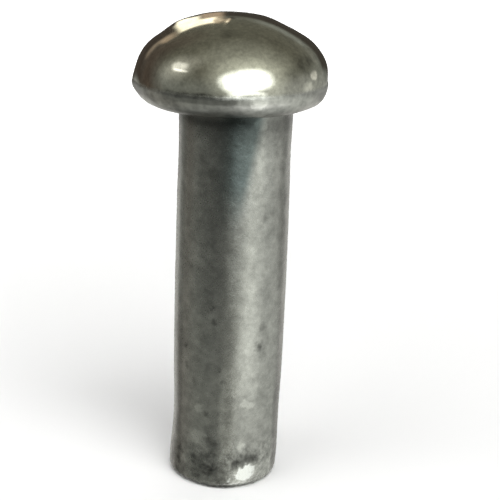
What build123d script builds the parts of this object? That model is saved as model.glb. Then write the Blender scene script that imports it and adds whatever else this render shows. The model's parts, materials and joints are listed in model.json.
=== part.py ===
from build123d import *
from math import atan2, cos, degrees, radians
import os

# A solid round-head rivet, cold headed in one piece from steel wire.
# Millimetres, +Z up. It stands on its cut end, and the origin is the middle of
# that end, on the shank's axis.

# Shank
shank_diameter = 10.0
shank_length = 35.0  # from the cut end to the seat under the head
end_rounding = 0.8  # tumbled corner round the cut end

# Head
head_diameter = 16.6  # at the crease, where the head is widest
dome_height = 5.6  # from the crease to the crown
dome_side_radius = 4.3  # the cup's tight radius, tangent to its shallow crown
lip_height = 2.1  # from the seat to the crease
crease_step = 0.08  # the lip stands this far proud of the dome's foot
head_offset = 0.5  # the head was struck this far off the shank's axis, towards -X

# Seat
neck_rounding = 0.3  # fillet between the shank and the seat
seat_land = 0.1  # flat left outside the fillet on the head's narrow side

shank_radius = shank_diameter / 2
head_radius = head_diameter / 2
seat_radius = shank_radius + neck_rounding + head_offset + seat_land


def turned(outline):
    """The solid that an outline on the XZ plane sweeps round the Z axis."""
    return revolve(make_face(outline), Axis.Z)


def quarter_ellipse(start, corner, end):
    """A true quarter ellipse that is tangent, at both ends, to the lines to the corner."""
    return Bezier(start, corner, end, weights=[1, cos(radians(45)), 1])


def make_shank():
    """The plain shank, from its rounded cut end to the fillet that meets the seat."""
    flat_radius = shank_radius - end_rounding
    neck_radius = shank_radius + neck_rounding
    neck_start = shank_length - neck_rounding
    with BuildLine(Plane.XZ) as outline:
        Polyline((0, shank_length), (0, 0), (flat_radius, 0))
        CenterArc((flat_radius, end_rounding), end_rounding, 270, 90)
        Line((shank_radius, end_rounding), (shank_radius, neck_start))
        CenterArc((neck_radius, neck_start), neck_rounding, 180, -90)
        Line((neck_radius, shank_length), (0, shank_length))
    return turned(outline.line)


def make_head():
    """The head on its own axis: a flat seat, a freely bulged lip and the struck dome.

    The dome took the two radii of the punch's cup, a tight one at its foot and a
    shallow one over the crown. The lip below it bulged free, so it rounds in to the
    seat and leaves a crease round the dome's foot.
    """
    dome_radius = head_radius - crease_step
    side_centre = dome_radius - dome_side_radius
    spare_height = dome_height - dome_side_radius
    crown_rise = (side_centre**2 - spare_height**2) / (2 * spare_height)
    crown_radius = crown_rise + dome_height
    join_angle = degrees(atan2(crown_rise, side_centre))
    with BuildLine(Plane.XZ) as outline:
        Polyline((0, lip_height + dome_height), (0, 0), (seat_radius, 0))
        quarter_ellipse((seat_radius, 0), (head_radius, 0), (head_radius, lip_height))
        Line((head_radius, lip_height), (dome_radius, lip_height))
        CenterArc((side_centre, lip_height), dome_side_radius, 0, join_angle)
        CenterArc((0, lip_height - crown_rise), crown_radius, join_angle, 90 - join_angle)
    return turned(outline.line)


head = Pos(-head_offset, 0, shank_length) * make_head()
rivet = make_shank() + head

os.makedirs("parts", exist_ok=True)
export_step(rivet, "parts/rivet.step")
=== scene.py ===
import json
import math
from collections import namedtuple
import bpy
from mathutils import Matrix, Vector, noise


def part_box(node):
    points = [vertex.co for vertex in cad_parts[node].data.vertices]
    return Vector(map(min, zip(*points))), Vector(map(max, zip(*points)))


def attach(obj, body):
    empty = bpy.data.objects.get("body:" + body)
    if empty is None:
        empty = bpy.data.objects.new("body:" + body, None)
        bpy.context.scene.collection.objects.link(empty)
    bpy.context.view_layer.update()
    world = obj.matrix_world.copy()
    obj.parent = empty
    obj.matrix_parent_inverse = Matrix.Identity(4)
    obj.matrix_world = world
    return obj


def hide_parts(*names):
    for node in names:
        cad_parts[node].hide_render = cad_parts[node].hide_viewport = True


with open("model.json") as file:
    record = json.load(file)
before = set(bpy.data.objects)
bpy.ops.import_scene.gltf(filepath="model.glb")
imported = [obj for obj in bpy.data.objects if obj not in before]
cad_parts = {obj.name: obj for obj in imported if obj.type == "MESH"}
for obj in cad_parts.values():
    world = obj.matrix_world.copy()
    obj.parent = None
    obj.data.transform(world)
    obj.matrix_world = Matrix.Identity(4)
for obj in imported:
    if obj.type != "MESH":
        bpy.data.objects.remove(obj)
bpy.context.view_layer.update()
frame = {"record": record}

mm = 0.001  # times a length in millimetres, it gives metres


# The maths of the shaders and the one way that their nodes are made

class Wire:
    def __init__(self, nodes, socket):
        self.nodes, self.socket = nodes, socket

    def maths(self, operation, *values):
        return self.nodes.maths(operation, self, *values)

    def __add__(self, other):
        return self.maths("ADD", other)

    def __radd__(self, other):
        return self.maths("ADD", other)

    def __sub__(self, other):
        return self.maths("SUBTRACT", other)

    def __rsub__(self, other):
        return self.nodes.maths("SUBTRACT", other, self)

    def __mul__(self, other):
        return self.maths("MULTIPLY", other)

    def __rmul__(self, other):
        return self.maths("MULTIPLY", other)

    def __truediv__(self, other):
        return self.maths("DIVIDE", other)

    def __rtruediv__(self, other):
        return self.nodes.maths("DIVIDE", other, self)

    def __pow__(self, other):
        return self.maths("POWER", other)

    def __abs__(self):
        return self.maths("ABSOLUTE")

    def step(self, low, high):  # 0 below low, 1 above high, smooth between
        settings = {"interpolation_type": "SMOOTHSTEP"}
        inputs = {"Value": self, "From Min": low, "From Max": high}
        return self.nodes.add("ShaderNodeMapRange", settings, inputs)

    def band(self, low, high, softLow, softHigh):  # 1 between low and high, with soft edges
        begun = self.step(low - softLow, low + softLow)
        return begun * (1 - self.step(high - softHigh, high + softHigh))


class Nodes:
    def __init__(self, tree):
        self.tree = tree
        tree.nodes.clear()

    def add(self, kind, settings=None, inputs=None, output=0):
        node = self.tree.nodes.new(kind)
        for name, value in (settings or {}).items():
            setattr(node, name, value)
        for name, value in (inputs or {}).items():
            if isinstance(value, Wire):
                self.tree.links.new(value.socket, node.inputs[name])
            else:
                node.inputs[name].default_value = value
        return Wire(self, node.outputs[output] if node.outputs else None)

    def maths(self, operation, *values):
        return self.add("ShaderNodeMath", {"operation": operation}, dict(enumerate(values)))

    def vector(self, operation, *values, output=0):
        settings = {"operation": operation}
        return self.add("ShaderNodeVectorMath", settings, dict(enumerate(values)), output)

    def dot(self, wire, direction):
        return self.vector("DOT_PRODUCT", wire, tuple(direction), output=1)

    def mixColour(self, mask, low, high, blend="MIX"):  # low where the mask is 0, high where it is 1
        low, high = (value if isinstance(value, Wire) else (*value, 1.0) for value in (low, high))
        settings = {"data_type": "RGBA", "blend_type": blend}
        return self.add("ShaderNodeMix", settings, {0: mask, 6: low, 7: high}, 2)

    def noise(self, place, scale, detail, roughness, output=0):
        inputs = {"Vector": place, "Scale": scale, "Detail": detail, "Roughness": roughness}
        return self.add("ShaderNodeTexNoise", {}, inputs, output)


def blend(mask, low, high):  # low where the mask is 0, high where it is 1
    return low * (1 - mask) + high * mask


# What the steel reflects: soft windows and dim surroundings all round the rivet.
# An azimuth of 0 is the camera's side, and it grows to the camera's right. The rims
# are arcs round the way that the camera looks, which show at the dome's outline.

surroundings = {
    "level": (0.22, 0.23, 0.21),
    "fades": {  # what takes over above (1) or below (-1), by the sine of the elevation
        "above": {"side": 1, "from": -0.15, "to": 0.75, "colour": (0.155, 0.152, 0.120)},
        "below": {"side": -1, "from": -0.05, "to": 0.50, "colour": (0.116, 0.115, 0.096)},
        "under": {"side": -1, "from": 0.62, "to": 0.96, "colour": (0.080, 0.080, 0.076)},
    },
    "farSide": (0.02, 0.10),  # cosines from its centre where a window is gone and whole
    "windows": {
        "bigWindow": {
            "azimuth": 20, "elevation": 23, "width": 58, "height": 46, "lean": 18,
            "soft": 0.36, "square": 2.6, "power": 2.4, "colour": (0.96, 1.00, 0.99),
        },
        "bigHaze": {
            "azimuth": 40, "elevation": 57, "width": 69, "height": 85, "lean": 16,
            "soft": 0.95, "square": 2, "power": 0.28, "colour": (0.97, 1.00, 0.88),
        },
        "nearHaze": {
            "azimuth": 22, "elevation": 24, "width": 75, "height": 82, "lean": -6,
            "soft": 0.9, "square": 2, "power": 0.5, "colour": (0.97, 1.00, 0.88),
        },
        "leftWindow": {
            "azimuth": -75, "elevation": 35, "width": 16, "height": 17, "lean": 26,
            "soft": 0.4, "square": 2.4, "power": 0.75, "colour": (1.00, 0.99, 0.95),
        },
        "leftGlow": {
            "azimuth": -76, "elevation": 33, "width": 31, "height": 47, "lean": -8,
            "soft": 0.8, "square": 2, "power": 0.27, "colour": (1.00, 1.00, 0.92),
        },
        "rightLamp": {
            "azimuth": 116, "elevation": 8, "width": 9, "height": 8, "lean": 2,
            "soft": 0.5, "square": 2, "power": 0.55, "colour": (1.00, 0.98, 0.92),
        },
        "rightGlow": {
            "azimuth": 88, "elevation": -4, "width": 110, "height": 37, "lean": -9,
            "soft": 0.71, "square": 2, "power": 0.2, "colour": (0.98, 0.99, 0.97),
        },
        "paper": {
            "azimuth": 78, "elevation": -47, "width": 93, "height": 66, "lean": -20,
            "soft": 0.14, "square": 4, "power": 0.46, "colour": (1.08, 1.12, 1.06),
        },
        "leftPaper": {
            "azimuth": -62, "elevation": -53, "width": 98, "height": 69, "lean": -9,
            "soft": 0.35, "square": 3, "power": 0.21, "colour": (0.98, 1.03, 0.95),
        },
        "rightPatch": {
            "azimuth": 102, "elevation": -7, "width": 14, "height": 19, "lean": 0,
            "soft": 0.6, "square": 2, "power": 0.32, "colour": (1.00, 1.00, 0.94),
        },
        "backPaper": {
            "azimuth": 180, "elevation": -29, "width": 86, "height": 37, "lean": -2,
            "soft": 0.3, "square": 3, "power": 1, "colour": (0.49, 0.48, 0.47),
        },
        "underPaper": {
            "azimuth": 53, "elevation": -57, "width": 67, "height": 14, "lean": 19,
            "soft": 0.35, "square": 2, "power": 0.85, "colour": (1.02, 1.01, 1.01),
        },
        "paperSheen": {
            "azimuth": 45, "elevation": -33, "width": 45, "height": 34, "lean": -2,
            "soft": 0.5, "square": 2, "power": 0.43, "colour": (1.00, 1.02, 0.96),
        },
        "farLeft": {
            "azimuth": -130, "elevation": -16, "width": 41, "height": 12, "lean": -10,
            "soft": 0.5, "square": 3, "power": 0.24, "colour": (0.94, 1.03, 0.95),
        },
        "lowStrip": {
            "azimuth": 21, "elevation": -6, "width": 38, "height": 9, "lean": 0,
            "soft": 0.35, "square": 4, "power": 1.5, "colour": (0.96, 1.00, 0.99),
        },
        "leftSill": {
            "azimuth": -69, "elevation": 30, "width": 15, "height": 4, "lean": 10,
            "soft": 0.4, "square": 3, "power": 1.3, "colour": (1.00, 0.99, 0.95),
        },
    },
    "darks": {
        "brownCorner": {
            "azimuth": -116, "elevation": -6, "width": 42, "height": 123, "lean": 21,
            "soft": 0.95, "square": 2, "power": 1, "colour": (0.092, 0.072, 0.058),
        },
        "frontDark": {
            "azimuth": -18, "elevation": -17, "width": 121, "height": 18, "lean": 3,
            "soft": 0.6, "square": 3, "power": 1, "colour": (0.030, 0.030, 0.028),
        },
    },
    "darkRims": {
        "rimDark": {
            "inner": 0, "outer": 44, "softIn": 1, "softOut": 3.5,
            "start": -19, "end": 62, "softEnds": 5.5,
            "power": 0.86, "colour": (0.040, 0.031, 0.024),
        },
        "rimBrown": {
            "inner": 0, "outer": 52, "softIn": 1, "softOut": 9,
            "start": -90, "end": -19, "softEnds": 7,
            "power": 0.9, "colour": (0.050, 0.036, 0.028),
        },
    },
    "lightRims": {
        "warmLamp": {
            "inner": 31, "outer": 57, "softIn": 1.5, "softOut": 1.5,
            "start": -26, "end": -16, "softEnds": 1.5,
            "power": 1.95, "colour": (1.00, 0.93, 0.72),
        },
        "warmTail": {
            "inner": 27, "outer": 58, "softIn": 4, "softOut": 1.5,
            "start": -15, "end": -6, "softEnds": 1.5,
            "power": 0.42, "colour": (1.07, 0.80, 0.55),
        },
        "warmEdge": {
            "inner": 50, "outer": 60, "softIn": 3, "softOut": 1,
            "start": -36, "end": -28, "softEnds": 4,
            "power": 0.26, "colour": (1.06, 0.76, 0.51),
        },
        "leftLine": {
            "inner": 49, "outer": 56, "softIn": 3, "softOut": 3,
            "start": -58, "end": -30, "softEnds": 6,
            "power": 0.18, "colour": (1.06, 0.82, 0.61),
        },
        "rightLine": {
            "inner": 46, "outer": 54, "softIn": 3, "softOut": 3,
            "start": 8, "end": 34, "softEnds": 6,
            "power": 0.12, "colour": (0.92, 1.01, 1.00),
        },
        "rightFade": {
            "inner": 52, "outer": 59, "softIn": 3, "softOut": 3,
            "start": 34, "end": 60, "softEnds": 8,
            "power": 0.09, "colour": (0.83, 0.82, 0.74),
        },
        "warmThin": {
            "inner": 45, "outer": 57, "softIn": 2, "softOut": 1.5,
            "start": -16, "end": -9, "softEnds": 1.5,
            "power": 1.9, "colour": (1.00, 0.93, 0.74),
        },
    },
}


def aim(azimuth, elevation):  # a unit vector from degrees
    a, e = math.radians(azimuth), math.radians(elevation)
    return Vector((math.sin(a) * math.cos(e), -math.cos(a) * math.cos(e), math.sin(e)))


def windowMask(nodes, direction, window):  # 1 inside a soft rounded rectangle of sky
    centre = aim(window["azimuth"], window["elevation"])
    turn = Matrix.Rotation(math.radians(window["lean"]), 3, centre)
    across = turn @ centre.cross(Vector((0, 0, 1))).normalized()
    up = centre.cross(across)
    reachX = math.tan(math.radians(window["width"] / 2))
    reachY = math.tan(math.radians(window["height"] / 2))
    gone, whole = surroundings["farSide"]
    ahead = nodes.dot(direction, centre)
    nearness = 1 / ahead.maths("MAXIMUM", gone)
    x = abs(nodes.dot(direction, across) * nearness / reachX)
    y = abs(nodes.dot(direction, up) * nearness / reachY)
    spread = (x ** window["square"] + y ** window["square"]) ** (1 / window["square"])
    return (1 - spread.step(1 - window["soft"], 1 + window["soft"])) * ahead.step(gone, whole)


def rimMask(nodes, direction, rim):  # 1 on an arc round the way that the camera looks
    centre, across = aim(180, -cameraView["down"]), Vector((1, 0, 0))
    up = across.cross(centre)
    away = nodes.dot(direction, centre).maths("ARCCOSINE") * math.degrees(1)
    side = nodes.dot(direction, across).maths("ARCTAN2", nodes.dot(direction, up)) * math.degrees(1)
    ring = away.band(rim["inner"], rim["outer"], rim["softIn"], rim["softOut"])
    return ring * side.band(rim["start"], rim["end"], rim["softEnds"], rim["softEnds"])


def makeSurroundings():
    world = bpy.data.worlds.new("surroundings")
    bpy.context.scene.world = world
    world.use_nodes = True
    nodes = Nodes(world.node_tree)
    direction = nodes.add("ShaderNodeTexCoord", output="Generated")
    colour = surroundings["level"]
    for fade in surroundings["fades"].values():
        height = nodes.dot(direction, (0, 0, fade["side"]))
        colour = nodes.mixColour(height.step(fade["from"], fade["to"]), colour, fade["colour"])
    for group, maskOf in (("darks", windowMask), ("darkRims", rimMask)):
        for dark in surroundings[group].values():
            mask = maskOf(nodes, direction, dark) * dark["power"]
            colour = nodes.mixColour(mask, colour, dark["colour"])
    for group, maskOf in (("lightRims", rimMask), ("windows", windowMask)):
        for light in surroundings[group].values():
            shine = [channel * light["power"] for channel in light["colour"]]
            colour = nodes.mixColour(maskOf(nodes, direction, light), colour, shine, "ADD")
    background = nodes.add("ShaderNodeBackground", {}, {"Color": colour})
    nodes.add("ShaderNodeOutputWorld", {}, {"Surface": background})
    world.cycles_visibility.camera = False
    world.cycles_visibility.diffuse = False
    print("surroundings ready")


# The rivet's form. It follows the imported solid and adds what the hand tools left:
# a crease that isn't level, a shank that isn't quite straight and small dents.
# Places, reaches and heights in the nested lists are in millimetres.

mounts = {mount["name"]: mount for mount in frame["record"]["mounts"]}
lowest, highest = (Vector(corner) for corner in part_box("rivet"))
rivetForm = {
    "shankRadius": mounts["shank"]["dims"]["r_mm"] * mm,
    "seatHeight": mounts["under_head"]["pos_m"][2],
    "headRadius": (highest.y - lowest.y) / 2,
    "headPlace": (highest.x + lowest.x) / 2,
    "top": highest.z,
    "lipHeight": 2.1 * mm,
    "creaseStep": 0.02 * mm,
    "domeSide": 4.3 * mm,  # the radius of the dome's tight side
    "neck": 0.3 * mm,
    "seatLand": 0.1 * mm,
    "lipFullness": 0.16,  # the lip bulges lower at its left and right
    "endRounding": 0.55 * mm,
    "endLean": -0.20 * mm,  # towards the camera's left
    "endLeanReach": 3.4 * mm,
    "headTilt": 0.4,  # degrees, lower at the camera's left
    "creaseTilt": 1.0,
    "lipGrowth": 3,  # how soon the lip takes up the tilt above the level seat
    "fades": {"corner": 6, "crease": 4, "lip": 8},  # how fast each one's effect dies away from it
    "around": 264,
    "rings": {"end": 16, "corner": 16, "shank": 132, "neck": 6, "seat": 5, "lip": 26, "dome": 112},
    "wander": {  # how much the shank's radius grows or shrinks, at which height, over what length
        "underHead": (-0.10, 31.0, 4.0),
        "waist": (-0.07, 6.5, 2.6),
        "swell": (0.04, 17.0, 6.0),
        "flare": (0.07, 1.6, 1.5),
    },
    "waves": {  # height, length and seed of the surface's unevenness
        "shank": ((0.035, 6.0, 1), (0.012, 1.7, 2), (0.004, 0.55, 3)),
        "dome": ((0.030, 4.2, 4), (0.006, 1.6, 5)),
        "lip": ((0.040, 3.0, 6), (0.016, 0.9, 7)),
        "crease": ((0.050, 2.4, 8),),
    },
    "domeDents": {  # place, reach and height of the humps, flats and dents
        "leftHump": ((-5.1, 0.8, 41.6), 1.2, 0.13),
        "leftFlat": ((-6.6, 0.5, 40.7), 1.1, -0.06),
        "topRise": ((-3.0, 1.3, 42.3), 1.5, 0.05),
        "rightRise": ((2.2, 1.4, 42.3), 1.3, 0.04),
        "rightFlat": ((3.9, 1.2, 41.7), 1.1, -0.05),
        "rightSwell": ((6.3, 0.8, 40.3), 1.2, 0.05),
        "rightSide": ((7.4, 0.1, 38.8), 1.1, 0.07),
        "footFlat": ((7.8, -0.5, 37.2), 0.8, -0.07),
        "lampDent": ((6.2, -4.2, 38.5), 0.45, -0.022),
        "aboveLamp": ((5.7, -4.6, 39.3), 0.60, -0.020),
        "patchDent": ((5.6, -5.4, 37.7), 0.50, -0.014),
    },
    "creaseDents": {  # the same, for what reaches over the crease
        "leftBulge": ((-8.6, -1.0, 36.8), 0.85, 0.22),
        "rightBulge": ((6.9, -1.6, 35.3), 1.15, 0.17),
    },
    "domeRidges": {  # two ends, reach and height
        "nick": ((-0.51, -2.43, 42.43), (-1.08, -4.5, 41.7), 0.32, 0.034),
        "nickFoot": ((-0.96, -3.6, 42.1), (-1.7, -2.6, 42.3), 0.40, -0.014),
    },
    "endWear": {  # azimuth and spread in degrees, and extra rounding of the sheared end
        "leftRoll": (-34, 24, 0.30),
        "frontRoll": (20, 20, 0.20),
    },
}

noiseSpacing = (7.3, -3.1, 5.7)  # sets the noises of different seeds apart

# A ring of the surface: its part, how far along that part it is (an angle for the
# corner and the neck, the sine of one for the lip, from 1 down to 0 for the dome), how
# much it faces out and up, its share of the head's shift, and its radius and height
# where they are the same all round
Ring = namedtuple("Ring", "part along out up shift radius height", defaults=(0.0, 0.0, 0.0))


def smoothNoise(place, length, seed):  # about -1 to 1
    return noise.noise(place * (1 / length) + Vector([seed * apart for apart in noiseSpacing]))


def gauss(value, centre, width):
    return math.exp(-(((value - centre) / width) ** 2))


def seatRadius():  # the flat seat's edge, round the head's own axis
    form = rivetForm
    return form["shankRadius"] + form["neck"] + abs(form["headPlace"]) + form["seatLand"]


def ringPlan():  # every ring, from the middle of the cut end to the crown
    form, rings, neck = rivetForm, rivetForm["rings"], rivetForm["neck"]
    plan = [Ring("end", n / rings["end"], 0.0, -1.0) for n in range(1, rings["end"])]
    for n in range(rings["corner"]):
        t = math.pi / 2 * n / rings["corner"]
        plan.append(Ring("corner", t, math.sin(t), -math.cos(t)))
    for n in range(rings["shank"]):
        t, corner = n / rings["shank"], form["endRounding"]
        height = corner + (form["seatHeight"] - neck - corner) * t
        plan.append(Ring("shank", t, 1.0, 0.0, 0.0, form["shankRadius"], height))
    for n in range(rings["neck"]):
        t = math.pi / 2 * n / rings["neck"]
        radius = form["shankRadius"] + neck * (1 - math.cos(t))
        height = form["seatHeight"] - neck * (1 - math.sin(t))
        plan.append(Ring("neck", t, math.cos(t), -math.sin(t), 0.0, radius, height))
    for n in range(rings["seat"]):
        t, inner = n / rings["seat"], form["shankRadius"] + neck
        radius = inner + (seatRadius() - inner) * t
        plan.append(Ring("seat", t, 0.0, -1.0, t, radius, form["seatHeight"]))
    for n in range(rings["lip"]):
        t = math.pi / 2 * n / rings["lip"]
        height = form["seatHeight"] + form["lipHeight"] * (1 - math.cos(t))
        plan.append(Ring("lip", math.sin(t), math.sin(t), -math.cos(t), 1.0, 0.0, height))
    return plan + domePlan()


def domePlan():  # the cup's tight side, then its shallow crown
    form, side, count = rivetForm, rivetForm["domeSide"], rivetForm["rings"]["dome"]
    crease = form["seatHeight"] + form["lipHeight"]
    domeHeight = form["top"] - crease
    sideCentre, spare = form["headRadius"] - form["creaseStep"] - side, domeHeight - side
    rise = (sideCentre ** 2 - spare ** 2) / (2 * spare)
    crown, join = rise + domeHeight, math.atan2(rise, sideCentre)
    sideLength, crownLength = side * join, crown * (math.pi / 2 - join)
    plan = []
    for n in range(count):
        travelled = (sideLength + crownLength) * n / count
        if travelled < sideLength:
            angle = travelled / side
            radius, height = sideCentre + side * math.cos(angle), side * math.sin(angle)
        else:
            angle = join + (travelled - sideLength) / crown
            radius, height = crown * math.cos(angle), crown * math.sin(angle) - rise
        facing = (math.cos(angle), math.sin(angle))
        plan.append(Ring("dome", 1 - height / domeHeight, *facing, 1.0, radius, crease + height))
    return plan


def waveSum(place, part):
    return sum(height * mm * smoothNoise(place, length * mm, seed)
               for height, length, seed in rivetForm["waves"][part])


def dentSum(place, dents):
    return sum(height * mm * gauss((place - Vector(centre) * mm).length, 0, reach * mm)
               for centre, reach, height in dents.values())


def ridgeSum(place, ridges):
    amount = 0.0
    for start, end, reach, height in ridges.values():
        a, b = Vector(start) * mm, Vector(end) * mm
        share = (place - a).dot(b - a) / (b - a).length_squared
        nearest = a + (b - a) * min(1.0, max(0.0, share))
        amount += height * mm * gauss((place - nearest).length, 0, reach * mm)
    return amount


def shankShape(place):
    wander = sum(size * mm * gauss(place.z, at * mm, spread * mm)
                 for size, at, spread in rivetForm["wander"].values())
    return wander + waveSum(place, "shank")


def lipShape(place, share):
    return (waveSum(place, "lip") + dentSum(place, rivetForm["creaseDents"])) * share


def domeShape(place, share):  # at its foot it has the lip's waves, so that the two meet
    waves = waveSum(place, "dome")
    waves += (waveSum(place, "lip") - waves) * share ** rivetForm["fades"]["lip"]
    dents = dentSum(place, rivetForm["domeDents"]) + dentSum(place, rivetForm["creaseDents"])
    return waves + dents + ridgeSum(place, rivetForm["domeRidges"])


def unevenness(ring, place):  # how far the surface stands out from the plain form
    if ring.part == "shank":
        return shankShape(place)
    if ring.part == "corner":
        return shankShape(place) * math.sin(ring.along) ** 2
    if ring.part == "lip":
        return lipShape(place, ring.along)
    if ring.part == "dome":
        return domeShape(place, ring.along)
    return 0.0


def endCorner(angle):  # the cut end's rounding, which varies round the shank
    corner = rivetForm["endRounding"]
    for at, spread, more in rivetForm["endWear"].values():
        away = (math.degrees(angle) - at + 180) % 360 - 180
        corner += more * mm * gauss(away, 0, spread)
    return corner


def ringReach(ring, angle):  # the ring's radius and height at that angle
    form, part, along = rivetForm, ring.part, ring.along
    if part == "end":
        return (form["shankRadius"] - endCorner(angle)) * along, 0.0
    if part == "corner":
        corner = endCorner(angle)
        flat = form["shankRadius"] - corner
        return flat + corner * math.sin(along), corner * (1 - math.cos(along))
    if part == "shank":  # its first rings climb from the uneven corner's top
        climb = (endCorner(angle) - form["endRounding"]) * (1 - along) ** form["fades"]["corner"]
        return ring.radius, ring.height + climb
    if part == "lip":
        grown = along ** (1 - form["lipFullness"] * math.sin(angle) ** 2)
        return seatRadius() + (form["headRadius"] - seatRadius()) * grown, ring.height
    return ring.radius, ring.height


def tiltHead(ring, place, side):  # side is how far the place is to the head's right
    form = rivetForm
    nearCrease, taken = ring.along, min(1.0, ring.along * form["lipGrowth"])
    if ring.part == "dome":
        nearCrease, taken = ring.along ** form["fades"]["crease"], 1.0
    tilt = form["headTilt"] + (form["creaseTilt"] - form["headTilt"]) * nearCrease
    place.z += math.tan(math.radians(tilt)) * side * taken
    place.z += waveSum(place, "crease") * nearCrease


def surfacePoint(ring, angle):
    across, ahead = math.sin(angle), -math.cos(angle)
    radius, height = ringReach(ring, angle)
    shift = rivetForm["headPlace"] * ring.shift
    place = Vector((radius * across + shift, radius * ahead, height))
    place.x += rivetForm["endLean"] * gauss(height, 0, rivetForm["endLeanReach"])
    amount = unevenness(ring, place)
    if ring.part in ("lip", "dome"):
        tiltHead(ring, place, radius * across)
    return place + Vector((ring.out * across, ring.out * ahead, ring.up)) * amount


def makeThing(name, points, faces):
    mesh = bpy.data.meshes.new(name)
    mesh.from_pydata(points, [], faces)
    thing = bpy.data.objects.new(name, mesh)
    bpy.context.collection.objects.link(thing)
    return thing


def makeRivet():
    plan, around = ringPlan(), rivetForm["around"]
    points = [(0.0, 0.0, 0.0)]
    for ring in plan:
        points += [surfacePoint(ring, 2 * math.pi * n / around) for n in range(around)]
    crown = len(points)
    points.append((rivetForm["headPlace"], 0.0, rivetForm["top"]))
    faces, last = [], crown - around
    for n in range(around):
        m = (n + 1) % around
        faces.append((0, 1 + n, 1 + m))
        for k in range(len(plan) - 1):
            a, b = 1 + k * around, 1 + (k + 1) * around
            faces.append((a + n, b + n, b + m, a + m))
        faces.append((last + n, crown, last + m))
    rivet = makeThing("steelRivet", points, faces)
    rivet.data.validate()
    rivet.data.shade_smooth()
    print("rivet ready,", len(faces), "faces")
    return rivet


# The rivet's steel: a polished dome, a dull lip and a shank with painted shade under the
# head and painted light and shade along it, bruised at its cut end. Places and reaches below are in
# millimetres.

def onShank(azimuth, height):  # a place on the shank's side
    return aim(azimuth, 0) * (rivetForm["shankRadius"] / mm) + Vector((0, 0, height))


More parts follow.
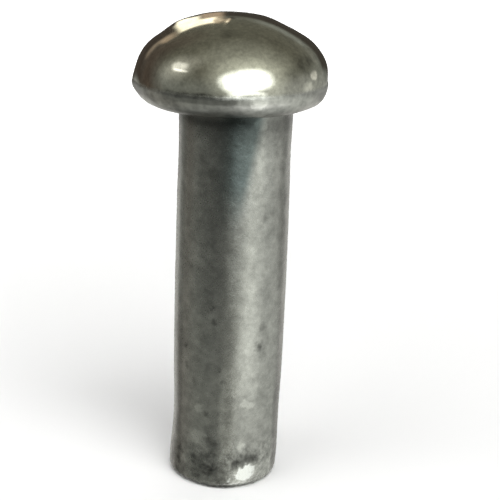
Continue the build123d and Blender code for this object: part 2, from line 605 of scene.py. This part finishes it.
steelLook = {
    "dome": {"colour": (0.60, 0.59, 0.52), "roughness": 0.10},
    "lip": {"colour": (0.47, 0.47, 0.445), "roughness": 0.34},
    "shank": {"colour": (0.42, 0.42, 0.40), "roughness": 0.27},
    "burnished": {"colour": (0.90, 0.91, 0.90), "roughness": 0.20},
    "edges": {  # over what height the finish changes: from the crease, the seat and the floor up
        "dome": (-0.10, 0.30), "lip": (-0.15, 0.25), "end": (2.5, 5.5),
    },
    "noises": {  # scale, detail and roughness, from broad to fine
        "cloud": (0.33, 5.0, 0.62),
        "blotch": (1.15, 4.0, 0.60),
        "grain": (3.0, 2.6, 0.60),
    },
    "tears": (2.1, 3.0, 0.5),  # the same, for what frays the outlines of marks
    "mottling": {  # how strongly each noise shows
        "shank": {"cloud": 0.90, "blotch": 1.05, "grain": 0.38},
        "dome": {"cloud": 0.60, "blotch": 0.65, "grain": 0.75},
    },
    "lipRuggedness": 0.4,  # how much stronger than the shank's its mottling is
    "endRuggedness": 1.4,
    "calm": {  # the shank's smooth front, where the mottling is weaker by this share
        "left": -1.4, "right": 1.3, "softLeft": 0.6, "softRight": 0.5,
        "from": 6.0, "to": 14.0, "share": 0.4,
    },
    "stain": {  # painted shade of the head, bluish, to the left of a sloping line, and deeper as it climbs
        "slope": 5.07, "softSlope": (19.5, 25.0), "left": (-2.2, 0.1), "height": (23.5, 29.5),
        "colour": (0.36, 0.425, 0.445),
    },
    "darkest": 0.15,  # the least that dark marks leave of the light
    "crisp": {"dark": 0.15, "light": 0.4, "burnished": 0.75, "dome": 0.0},  # where marks start to fade
    "markEnd": 1.1,  # where they are gone, both as shares of their reach
    "grainRoughness": 0.08,
    "bump": {"strength": 0.6, "depth": 0.06, "grain": 0.35, "calm": 0.6},  # calm evens the shank
    "patches": {  # painted shade and painted light: left, right, bottom, top, softness across and up, and what it leaves of the light (under 1 darker, over 1 lighter)
        "underHead": (-6.0, 6.0, 33.4, 35.2, 0.6, 1.4, 0.42),
        "neckLine": (-4.6, 1.9, 33.9, 35.1, 0.6, 0.4, 0.60),
        "lipFoot": (-4.2, 1.2, 34.9, 35.7, 1.0, 0.25, 0.72),
        "underCrease": (-5.2, 0.4, 36.4, 37.1, 1.2, 0.12, 0.55),
        "lipLeftEdge": (-9.9, -7.9, 36.0, 36.9, 0.3, 0.2, 0.50),
        "lipRightEdge": (6.7, 9.9, 36.0, 36.9, 0.5, 0.2, 0.55),
        "lipLeftFoot": (-9.9, -5.0, 34.8, 36.0, 0.5, 0.25, 1.35),
        "lipRightFoot": (4.6, 9.9, 34.8, 35.9, 0.8, 0.25, 1.25),
        "lowBand": (-0.2, 2.4, 10.0, 20.0, 0.6, 3.0, 1.18),
        "footBand": (0.6, 2.7, 2.6, 9.0, 0.4, 1.5, 0.84),
        "lowCore": (-0.5, 0.9, 2.6, 12.0, 0.35, 1.0, 1.55),
        "leftStrip": (-4.6, -4.05, -1.0, 33.0, 0.15, 1.0, 0.76),
        "lowRight": (4.35, 5.5, -1.0, 10.0, 0.2, 2.0, 0.55),
        "upperBand": (2.1, 3.6, 28.0, 32.0, 0.4, 1.2, 1.30),
        "footDark": (0.3, 2.8, 2.3, 3.3, 0.4, 0.4, 0.74),
        "footLeft": (-4.2, -1.8, 0.7, 2.2, 0.4, 0.4, 0.68),
        "footLine": (-5.5, 0.8, -1.0, 0.28, 0.5, 0.14, 0.45),
    },
    "darkMarks": {  # pits and dark patches, and some painted shade: place, reach and share of the light taken away
        "bandPit": (onShank(38, 15.9), 0.62, 0.40),
        "bandPitLow": (onShank(34, 14.1), 0.62, 0.60),
        "leftPitA": (onShank(-45, 11.7), 0.40, 0.45),
        "leftPitB": (onShank(-17, 17.8), 0.32, 0.45),
        "leftPitC": (onShank(-42, 21.2), 0.40, 0.40),
        "leftPitD": (onShank(-48, 13.6), 0.36, 0.40),
        "corePitA": (onShank(-7, 12.0), 0.34, 0.40),
        "corePitB": (onShank(-13.5, 16.55), 0.30, 0.40),
        "corePitC": (onShank(-3.5, 10.85), 0.34, 0.40),
        "lowPitA": (onShank(-21, 7.4), 0.45, 0.45),
        "lowPitB": (onShank(-17, 4.9), 0.60, 0.42),
        "lowPitC": (onShank(-10, 4.5), 0.60, 0.42),
        "endPatch": (onShank(-27, 2.4), 1.35, 0.34),
        "endPitA": (onShank(-13, 1.8), 0.60, 0.28),
        "endPitB": (onShank(-50, 3.1), 0.70, 0.28),
        "endPitC": (onShank(-35, 2.9), 0.60, 0.28),
        # painted shade: a dark crescent along the foot, above the burnished flat
        "crescentA": (onShank(12.5, 2.6), 0.85, 0.36),
        "crescentB": (onShank(19, 2.85), 0.85, 0.36),
        "crescentC": (onShank(25, 3.0), 0.85, 0.36),
        "crescentD": (onShank(31.5, 3.05), 0.85, 0.34),
        "crescentE": (onShank(37, 3.1), 0.85, 0.34),
        "bandPatch": (onShank(35, 26.0), 0.55, 0.25),
        # painted shadow under the glint
        "glintFoot": (onShank(4, 0.66), 0.22, 0.70),
    },
    "lightMarks": {  # painted highlights: place, reach and light added
        "leftShine": (onShank(-29, 7.85), 0.55, 0.45),
        "endShine": (onShank(-31, 5.05), 1.10, 0.45),
        "coreShine": (onShank(16.5, 4.3), 0.50, 0.35),
        "bandShineA": (onShank(20, 8.7), 0.45, 0.30),
        "bandShineB": (onShank(27, 8.4), 0.45, 0.30),
        "neckShine": (onShank(27.5, 34.3), 0.75, 0.32),
        "lipShine": ((1.96, -7.83, 36.58), 0.80, 0.55),
    },
    "burnishedMarks": {  # place, reach and strength
        "endFlat": (onShank(25, 1.58), 0.90, 1.0),
        "endFlatLeft": (onShank(17.5, 1.42), 0.52, 1.0),
        "glint": (onShank(4, 0.98), 0.20, 1.0),
    },
    "domeMarks": {  # darker spots on the polish: place, reach and share of the light taken away
        "underNick": ((-0.75, -4.9, 41.5), 0.9, 0.34),
        "rightStreakA": ((5.2, -4.9, 39.3), 0.75, 0.45),
        "rightStreakB": ((5.9, -4.0, 39.6), 0.75, 0.45),
    },
}


def markMask(nodes, place, kind):  # the marks' strengths, to 0 past their reach
    crisp, total = steelLook["crisp"][kind], 0.0
    for centre, reach, strength in steelLook[kind + "Marks"].values():
        away = nodes.vector("DISTANCE", place, centre, output=1)
        total = (1 - away.step(reach * crisp, reach * steelLook["markEnd"])) * strength + total
    return total


def paintedShadeAndLightShare(x, z):  # what the painted shade and painted light leave of the light, patch by patch
    share = 1.0
    for left, right, bottom, top, softX, softZ, kept in steelLook["patches"].values():
        mask = x.band(left, right, softX, softX) * z.band(bottom, top, softZ, softZ)
        share = (mask * (kept - 1) + 1) * share
    return share


def calmFront(x, z, lip):  # the share of the mottling that the shank's smooth front loses
    calm = steelLook["calm"]
    front = x.band(calm["left"], calm["right"], calm["softLeft"], calm["softRight"])
    return front * z.step(calm["from"], calm["to"]) * (1 - lip) * calm["share"]


# the shank's colour, with the head's painted shade, bluish, over its upper left
def headShadedShank(nodes, x, z, lip):
    stain, shank = steelLook["stain"], steelLook["shank"]["colour"]
    reach = (z - x * stain["slope"]).step(*stain["softSlope"])
    reach = reach * x.step(*stain["left"]) * z.step(*stain["height"]) * (1 - lip)
    bluish = [own * share for own, share in zip(shank, stain["colour"])]
    return nodes.mixColour(reach, shank, bluish)


def steelRoughness(grain, rugged, dome, lip, burnish):
    look = steelLook
    rough = blend(lip, look["shank"]["roughness"], look["lip"]["roughness"])
    rough = rough + grain * look["grainRoughness"] * rugged
    rough = blend(dome, rough, look["dome"]["roughness"])
    return blend(burnish, rough, look["burnished"]["roughness"])


def makeSteel():
    look, seat = steelLook, rivetForm["seatHeight"] / mm
    material = bpy.data.materials.new("wornSteel")
    material.use_nodes = True
    nodes = Nodes(material.node_tree)
    spot = nodes.add("ShaderNodeTexCoord", output="Object")
    place = nodes.vector("MULTIPLY", spot, (1 / mm, 1 / mm, 1 / mm))
    x, z = nodes.dot(place, (1, 0, 0)), nodes.dot(place, (0, 0, 1))
    climb = math.tan(math.radians(rivetForm["creaseTilt"]))
    crease = x * climb + (seat + rivetForm["lipHeight"] / mm)
    dome = (z - crease).step(*look["edges"]["dome"])
    lip = (z - seat).step(*look["edges"]["lip"])
    end = 1 - z.step(*look["edges"]["end"])

    cloud, blotch, grain = (nodes.noise(place, *values) - 0.5 for values in look["noises"].values())
    tears = nodes.noise(place, *look["tears"], output=1)
    torn = nodes.vector("ADD", place, nodes.vector("SUBTRACT", tears, (0.5, 0.5, 0.5)))
    rugged = lip * look["lipRuggedness"] + end * look["endRuggedness"] + 1
    weight = look["mottling"]["shank"]
    mottling = (blotch * weight["blotch"] + grain * weight["grain"]) * rugged + cloud * weight["cloud"]
    # the mottling, times the bands of painted shade and painted light
    tone = (1 + mottling * (1 - calmFront(x, z, lip))) * paintedShadeAndLightShare(x, z)
    # dark marks, some of them painted shade, then painted highlights added on top
    kept = (1 - markMask(nodes, torn, "dark")).maths("MAXIMUM", look["darkest"])
    tone = tone * kept + markMask(nodes, torn, "light")
    weight = look["mottling"]["dome"]
    domeTone = 1 + blotch * weight["blotch"] + grain * weight["grain"] + cloud * weight["cloud"]
    domeTone = domeTone * (1 - markMask(nodes, torn, "dome"))

    dull = nodes.mixColour(lip, headShadedShank(nodes, x, z, lip), look["lip"]["colour"])
    polished = nodes.vector("MULTIPLY", look["dome"]["colour"], domeTone)
    colour = nodes.mixColour(dome, nodes.vector("MULTIPLY", dull, tone), polished)
    burnish = markMask(nodes, torn, "burnished").maths("MINIMUM", 1.0)
    colour = nodes.mixColour(burnish, colour, look["burnished"]["colour"])
    bump = look["bump"]
    height = (grain * bump["grain"] + blotch) * (rugged - bump["calm"]) * (1 - dome)
    normal = nodes.add("ShaderNodeBump", {}, {
        "Strength": bump["strength"], "Distance": bump["depth"] * mm, "Height": height})
    steel = nodes.add("ShaderNodeBsdfPrincipled", {}, {
        "Base Color": colour, "Metallic": 1.0, "Normal": normal,
        "Roughness": steelRoughness(grain, rugged, dome, lip, burnish)})
    nodes.add("ShaderNodeOutputMaterial", {}, {"Surface": steel})
    print("steel ready")
    return material


# The stage: a pale floor, a pale wall all round, soft lights and the camera

stage = {
    "pale": (0.86, 0.86, 0.855),
    "paperRoughness": 0.9,
    "floorSize": 2.6,
    "glowReach": (0.03, 0.30),  # over this distance the floor's glow sets in, to keep it evenly pale
    "farGlow": (0.80, 0.80, 0.795),
    "wallRadius": 1.2,
    "wallSides": 64,
    "wallFoot": -0.001,
    "wallTop": 3.0,
    "wallGlow": 1.35,
    "lights": {
        "keyLight": {"azimuth": 30, "elevation": 58, "distance": 0.55, "size": 0.40, "power": 2.6},
        "fillLight": {"azimuth": -60, "elevation": 50, "distance": 0.60, "size": 0.50, "power": 1.6},
        "topLight": {"azimuth": 180, "elevation": 70, "distance": 0.70, "size": 0.60, "power": 1.8},
    },
}


def makePaper(name, strength, onlyFar=False):
    material = bpy.data.materials.new(name)
    material.use_nodes = True
    nodes = Nodes(material.node_tree)
    pale = glow = (*stage["pale"], 1.0)
    if onlyFar:
        spot = nodes.add("ShaderNodeTexCoord", output="Object")
        away = nodes.vector("LENGTH", spot, output=1).step(*stage["glowReach"])
        glow = nodes.mixColour(away, (0, 0, 0), stage["farGlow"])
    paper = nodes.add("ShaderNodeBsdfPrincipled", {}, {
        "Base Color": pale, "Roughness": stage["paperRoughness"],
        "Emission Color": glow, "Emission Strength": strength})
    nodes.add("ShaderNodeOutputMaterial", {}, {"Surface": paper})
    return material


def makeFloor():
    half = stage["floorSize"] / 2
    corners = [(-half, -half, 0), (half, -half, 0), (half, half, 0), (-half, half, 0)]
    floor = makeThing("floor", corners, [(0, 1, 2, 3)])
    floor.data.materials.append(makePaper("palePaper", 1.0, onlyFar=True))
    floor.visible_glossy = False  # the steel reflects the surroundings instead


def makeBackdrop():
    sides, radius = stage["wallSides"], stage["wallRadius"]
    points = [aim(360 * n / sides, 0) * radius + Vector((0, 0, height))
              for height in (stage["wallFoot"], stage["wallTop"]) for n in range(sides)]
    faces = [(n, (n + 1) % sides, sides + (n + 1) % sides, sides + n) for n in range(sides)]
    backdrop = makeThing("backdrop", points, faces)
    backdrop.data.materials.append(makePaper("paleWall", stage["wallGlow"]))
    for ray in ("glossy", "diffuse", "shadow", "transmission"):
        setattr(backdrop, "visible_" + ray, False)


def makeLights():
    for name, light in stage["lights"].items():
        lamp = bpy.data.lights.new(name, "AREA")
        lamp.shape, lamp.size, lamp.energy = "DISK", light["size"], light["power"]
        thing = bpy.data.objects.new(name, lamp)
        towards = aim(light["azimuth"], light["elevation"])
        thing.location = towards * light["distance"]
        thing.rotation_euler = towards.to_track_quat("Z", "Y").to_euler()
        thing.visible_glossy = False
        bpy.context.collection.objects.link(thing)
    print("stage ready")


cameraView = {
    "place": (1.665 * mm, -95.87 * mm, 54.70 * mm),
    "down": 19.0,  # degrees below level
    "roll": 2.259,
    "lens": 81.14,
    "sensor": 36.0,
    "nearest": 1 * mm,
}


def makeCamera():
    down, roll = math.radians(cameraView["down"]), math.radians(cameraView["roll"])
    ahead, level = Vector((0, math.cos(down), -math.sin(down))), Vector((1, 0, 0))
    above = level.cross(ahead)
    right = level * math.cos(roll) + above * math.sin(roll)
    up = above * math.cos(roll) - level * math.sin(roll)
    lens = bpy.data.cameras.new("camera")
    lens.lens, lens.sensor_width = cameraView["lens"], cameraView["sensor"]
    lens.clip_start = cameraView["nearest"]
    camera = bpy.data.objects.new("camera", lens)
    turn = Matrix((right, up, -ahead)).transposed().to_4x4()
    camera.matrix_world = Matrix.Translation(cameraView["place"]) @ turn
    bpy.context.collection.objects.link(camera)
    bpy.context.scene.camera = camera


makeSurroundings()
rivet = makeRivet()
rivet.data.materials.append(makeSteel())
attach(rivet, "root")
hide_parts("rivet")
makeFloor()
makeBackdrop()
makeLights()
makeCamera()
bpy.context.scene.view_settings.view_transform = "Standard"
